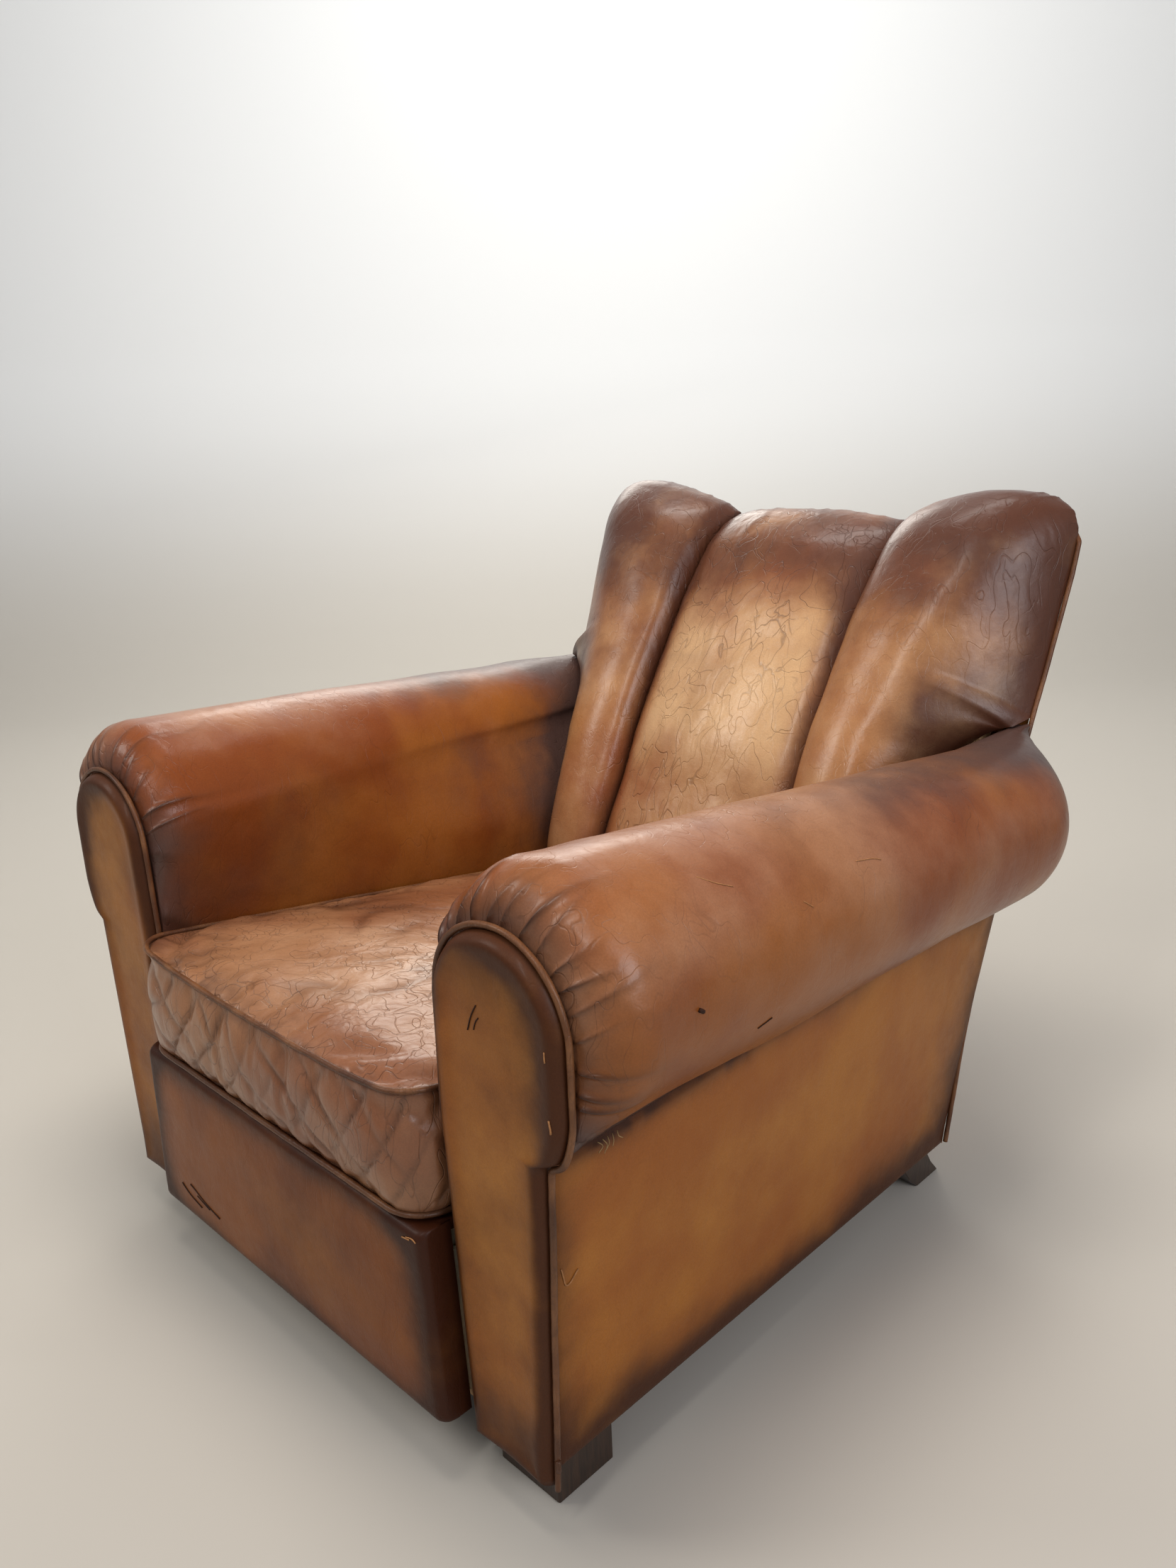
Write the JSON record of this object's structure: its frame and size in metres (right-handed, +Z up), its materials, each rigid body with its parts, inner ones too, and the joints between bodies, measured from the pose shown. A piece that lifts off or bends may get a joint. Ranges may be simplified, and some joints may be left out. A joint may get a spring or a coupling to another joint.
{
  "type": "worn club chair",
  "caption": "Worn leather club chair with fluted back, rolled arms with pleated fronts, loose boxed seat cushion and short dark feet.",
  "frame": {"origin": "centre of the chair's bounding box on the floor, under its four feet", "axes": "+X to the sitter's left, -Y is the front of the chair, +Z up; the chair is mirror-symmetric in X"},
  "size_m": [0.996, 1.015, 0.86],
  "materials": {
    "leather_tan": "worn smooth sheep leather, satin",
    "leather_brown": "worn sheep leather with brown patina, satin",
    "leather_dark": "darkened leather welt",
    "beech": "sawn",
    "wenge": "dark stained, satin",
    "jute": "woven, matte",
    "stuffing": "fibre, matte",
    "cambric": "thin black cloth, matte",
    "spring_steel": "plain wire"
  },
  "bodies": {
    "root": {"arm_cover_left": "leather_brown", "arm_cover_right": "leather_brown", "arm_pad_left": "stuffing", "arm_pad_right": "stuffing", "arm_facing_left": "leather_tan", "arm_facing_right": "leather_tan", "facing_welt_left": "leather_dark", "facing_welt_right": "leather_dark", "side_panel_left": "leather_tan", "side_panel_right": "leather_tan", "back_cover": "leather_brown", "back_channel_pad_centre": "stuffing", "back_channel_pad_left": "stuffing", "back_channel_pad_right": "stuffing", "outside_back": "leather_tan", "back_welt": "leather_dark", "seat_front_cover": "leather_brown", "seat_front_pad": "stuffing", "seat_pad": "stuffing", "spring_hessian": "jute", "seat_cushion": "leather_brown", "cushion_welt_bottom": "leather_dark", "cushion_welt_top": "leather_dark", "front_rail": "beech", "arm_post_left": "beech", "arm_post_right": "beech", "side_rail_left": "beech", "side_rail_right": "beech", "arm_rail_left": "beech", "arm_rail_right": "beech", "inside_rail_left": "beech", "inside_rail_right": "beech", "back_post_left": "beech", "back_post_right": "beech", "corner_block_left": "beech", "corner_block_right": "beech", "back_rail": "beech", "back_tacking_rail": "beech", "top_rail": "beech", "webbing_across_1": "jute", "webbing_across_2": "jute", "webbing_across_3": "jute", "webbing_along_1": "jute", "webbing_along_2": "jute", "webbing_along_3": "jute", "dust_cover": "cambric", "seat_spring_1": "spring_steel", "seat_spring_2": "spring_steel", "seat_spring_3": "spring_steel", "seat_spring_4": "spring_steel", "seat_spring_5": "spring_steel", "seat_spring_6": "spring_steel", "seat_spring_7": "spring_steel", "seat_spring_8": "spring_steel", "seat_spring_9": "spring_steel", "front_foot_left": "wenge", "front_foot_right": "wenge", "rear_foot_left": "wenge", "rear_foot_right": "wenge"}
  },
  "joints": []
}
